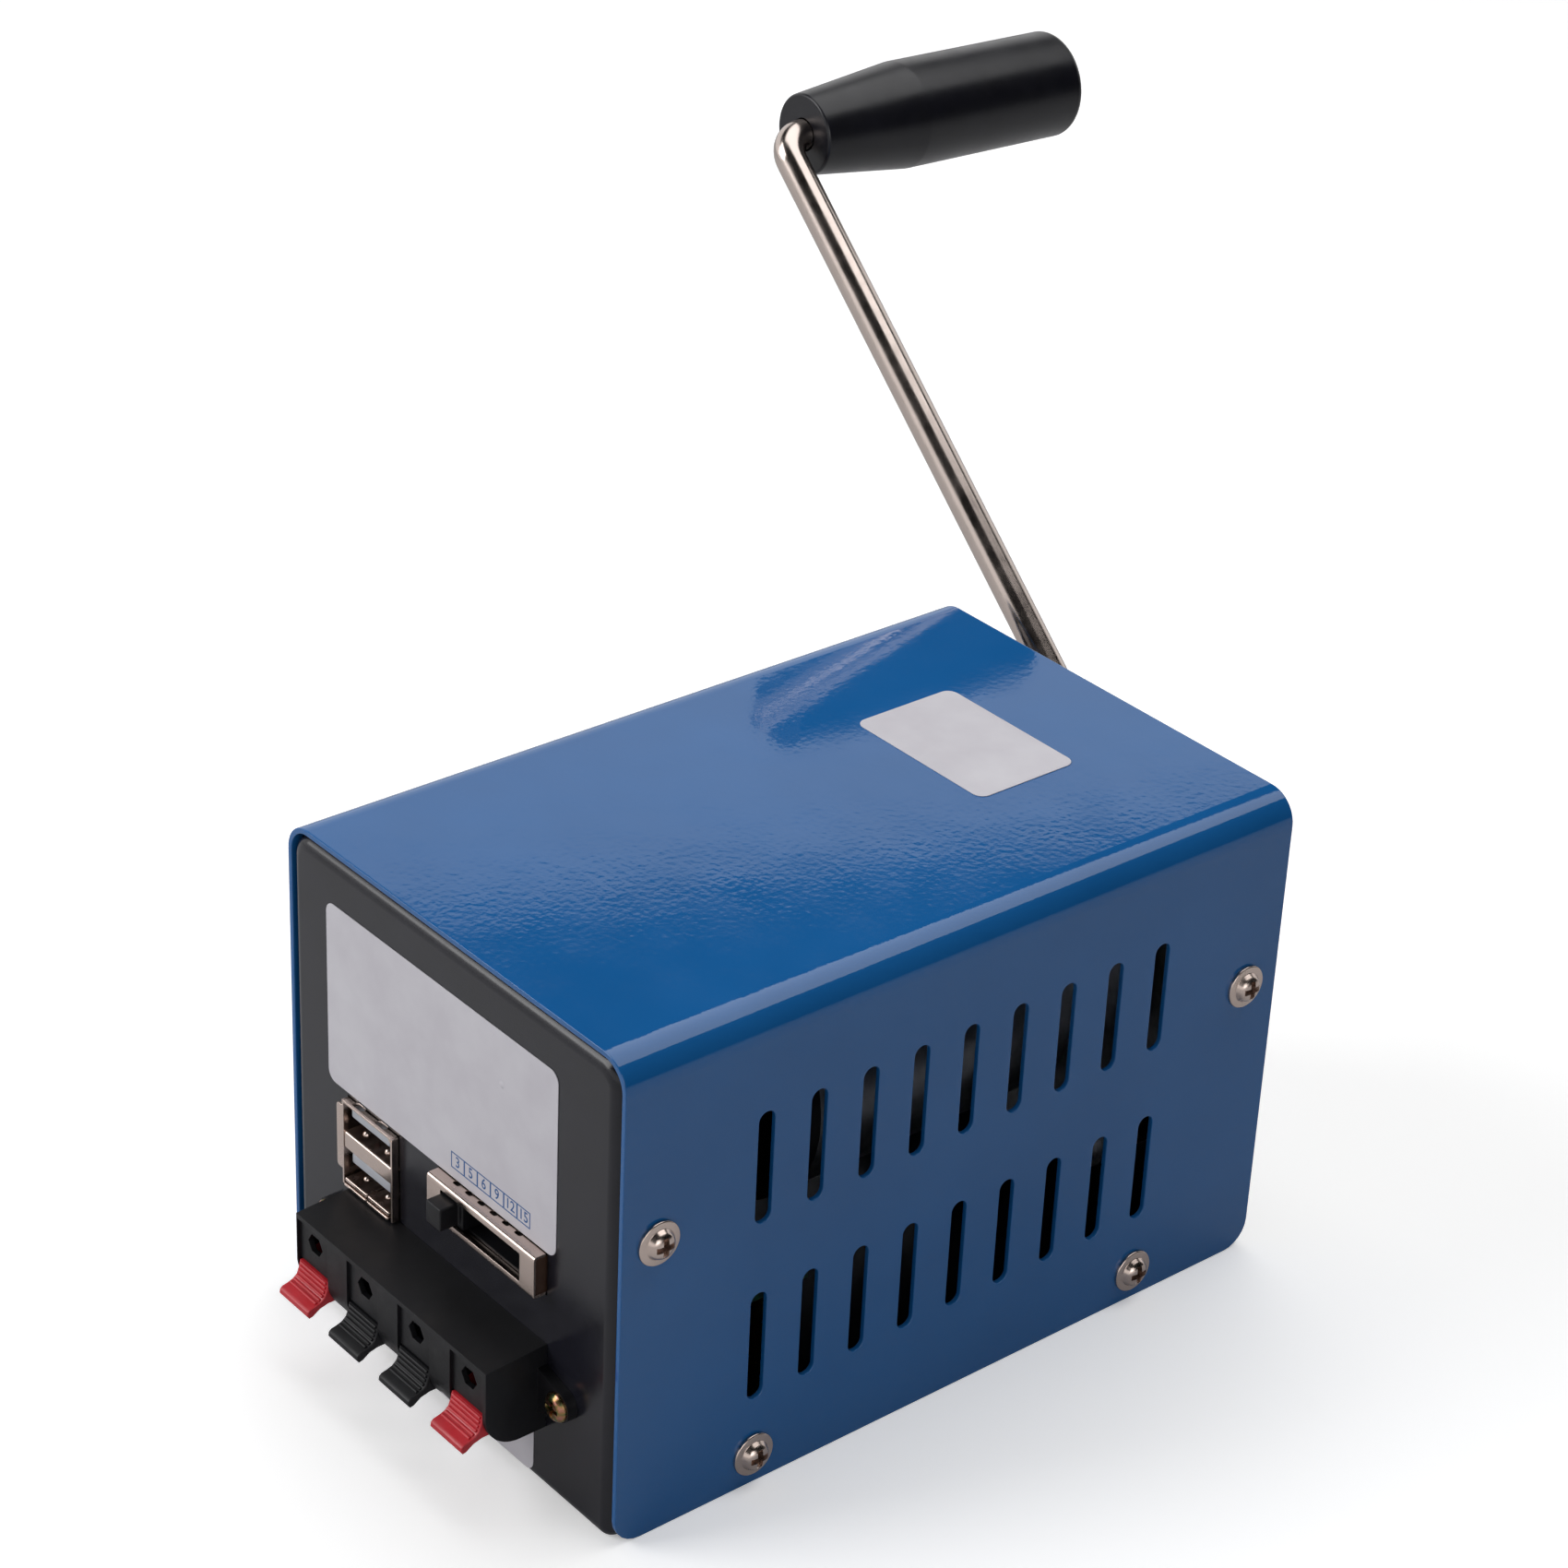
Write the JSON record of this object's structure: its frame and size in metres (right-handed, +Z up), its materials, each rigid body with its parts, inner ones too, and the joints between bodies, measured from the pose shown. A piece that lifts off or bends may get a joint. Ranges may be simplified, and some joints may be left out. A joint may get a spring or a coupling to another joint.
{
  "type": "hand crank generator",
  "caption": "Hand crank dynamo in a folded sheet case, with a turning grip, a double USB socket, a slide switch for the output voltage and spring wire clamps.",
  "frame": {"origin": "centre of the case's underside, on the surface that it stands on", "axes": "+X to the right along the front panel, +Y from the front panel to the crank, +Z up"},
  "size_m": [0.1721, 0.2398, 0.1614],
  "materials": {
    "cover_paint": "semi-gloss powder coat",
    "chassis_paint": "satin powder coat",
    "nickel": "nickel plated",
    "yellow_zinc": "yellow zinc plated",
    "sticker": "matt",
    "white_plastic": "matt",
    "phenolic": "matt",
    "black_plastic": "satin",
    "red_plastic": "gloss",
    "grip_plastic": "satin",
    "steel": "zinc plated",
    "rod_steel": "nickel plated",
    "brass_part": "turned",
    "alu": "anodised",
    "copper": "enamelled copper",
    "ferrite": "matt",
    "lamination": "matt",
    "board": "solder mask",
    "gear_plastic": "matt",
    "lead_insulation": "satin"
  },
  "bodies": {
    "case": {"cover": "cover_paint", "chassis": "chassis_paint", "cover_screws": "nickel", "front_label": "sticker", "lower_label": "sticker", "top_label": "sticker", "usb_shell": "nickel", "usb_tongues": "white_plastic", "usb_contacts": "yellow_zinc", "switch_frame": "nickel", "switch_base": "phenolic", "terminal_body": "black_plastic", "lever_pivot_rod": "steel", "terminal_contacts": "brass_part", "clamp_springs": "steel", "terminal_screws": "yellow_zinc", "terminal_nuts": "steel", "intermediate_arbor": "steel", "gearbox_rear_plate": "steel", "gearbox_front_plate": "steel", "gearbox_pillars": "brass_part", "gearbox_screws": "steel", "panel_bush": "brass_part", "generator_can": "steel", "generator_cap": "black_plastic", "generator_magnets": "ferrite", "generator_bushes": "brass_part", "generator_brushes": "ferrite", "generator_screws": "steel", "main_board": "board", "switch_board": "board", "board_standoffs": "brass_part", "board_screws": "nickel", "filter_capacitors": "black_plastic", "inductor": "ferrite", "rectifier": "black_plastic", "regulator": "black_plastic", "heat_sink": "alu", "generator_leads": "lead_insulation"},
    "crank": {"crank_rod": "rod_steel", "grip_clip": "steel", "crank_shaft": "steel", "hub_collar": "steel", "hub_set_screws": "steel", "crank_gear": "gear_plastic"},
    "grip": {"grip": "grip_plastic", "grip_cap": "grip_plastic"},
    "intermediate": {"intermediate_pinion": "brass_part", "intermediate_wheel": "gear_plastic"},
    "rotor": {"rotor_pinion": "brass_part", "rotor_shaft": "steel", "rotor_core": "lamination", "rotor_windings": "copper", "commutator": "copper"},
    "switch_slider": {"switch_knob": "black_plastic"},
    "lever_1_body": {"lever_1": "red_plastic"},
    "lever_2_body": {"lever_2": "black_plastic"},
    "lever_3_body": {"lever_3": "black_plastic"},
    "lever_4_body": {"lever_4": "red_plastic"}
  },
  "joints": [
    {"name": "crank_turn", "type": "hinge", "parent": "case", "child": "crank", "pos_m": [0, 0.07, 0.045], "axis": [0, 1, 0], "continuous": true},
    {"name": "intermediate_turn", "type": "hinge", "parent": "case", "child": "intermediate", "pos_m": [-0.01903, 0.056, 0.06212], "axis": [0, 1, 0], "continuous": true},
    {"name": "rotor_turn", "type": "hinge", "parent": "case", "child": "rotor", "pos_m": [0, 0.02, 0.045], "axis": [0, 1, 0], "continuous": true},
    {"name": "grip_spin", "type": "hinge", "parent": "crank", "child": "grip", "pos_m": [-0.1152, 0.0873, 0.15167], "axis": [0.0205, 0.9996, -0.019], "continuous": true},
    {"name": "switch_slide", "type": "slide", "parent": "case", "child": "switch_slider", "axis": [1, 0, 0], "range_m": [0, 0.017]},
    {"name": "lever_1_press", "type": "hinge", "parent": "case", "child": "lever_1_body", "pos_m": [-0.0215, -0.0745, 0.0195], "axis": [1, 0, 0], "range_deg": [0, 16], "stiffness_Nm_per_rad": 0.02, "springref_deg": -2.86},
    {"name": "lever_2_press", "type": "hinge", "parent": "case", "child": "lever_2_body", "pos_m": [-0.0071, -0.0745, 0.0195], "axis": [1, 0, 0], "range_deg": [0, 16], "stiffness_Nm_per_rad": 0.02, "springref_deg": -2.86},
    {"name": "lever_3_press", "type": "hinge", "parent": "case", "child": "lever_3_body", "pos_m": [0.0073, -0.0745, 0.0195], "axis": [1, 0, 0], "range_deg": [0, 16], "stiffness_Nm_per_rad": 0.02, "springref_deg": -2.86},
    {"name": "lever_4_press", "type": "hinge", "parent": "case", "child": "lever_4_body", "pos_m": [0.0217, -0.0745, 0.0195], "axis": [1, 0, 0], "range_deg": [0, 16], "stiffness_Nm_per_rad": 0.02, "springref_deg": -2.86}
  ],
  "couplings": [
    {"joint": "intermediate_turn", "follows": "crank_turn", "ratio": -3.5714},
    {"joint": "rotor_turn", "follows": "crank_turn", "ratio": 12.755}
  ]
}
